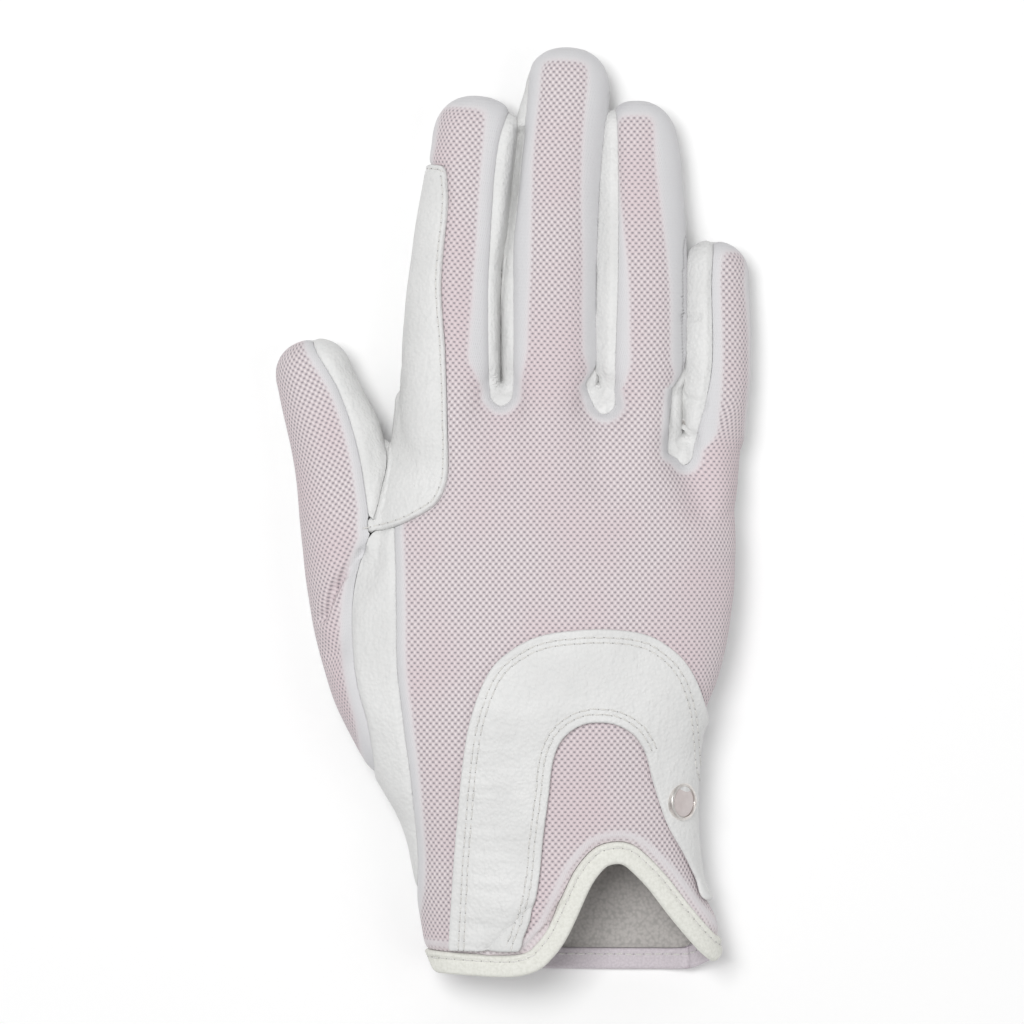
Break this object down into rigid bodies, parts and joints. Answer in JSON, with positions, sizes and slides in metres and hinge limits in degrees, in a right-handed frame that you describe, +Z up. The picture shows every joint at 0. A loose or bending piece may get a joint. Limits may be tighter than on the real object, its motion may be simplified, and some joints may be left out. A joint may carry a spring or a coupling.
{
  "type": "horse riding glove",
  "caption": "Right-hand riding glove with a breathable mesh back, leather palm and rein-finger patch, and a horseshoe wrist strap over a notched cuff.",
  "frame": {"origin": "middle of the outline on the surface that the glove lies on", "axes": "+Z up from the palm to the back of the hand, +Y from the cuff to the fingertips, the thumb on the -X side"},
  "size_m": [0.1136, 0.2248, 0.0316],
  "materials": {
    "mesh": "knitted mesh on a pale lining",
    "leather": "pebbled, semi-matt",
    "binding": "folded tape, matt",
    "hem": "soft, matt",
    "rim": "polished edge",
    "face": "satin enamel"
  },
  "bodies": {
    "root": {"back_panel": "mesh", "thumb_back": "mesh", "palm_panel": "leather", "thumb_front": "leather", "index_patch": "leather", "wrist_strap": "leather", "fourchette_index_middle": "leather", "fourchette_middle_ring": "leather", "fourchette_ring_little": "leather", "cuff_binding": "binding", "cuff_hem": "hem", "stud_rim": "rim", "stud_face": "face"}
  },
  "joints": []
}
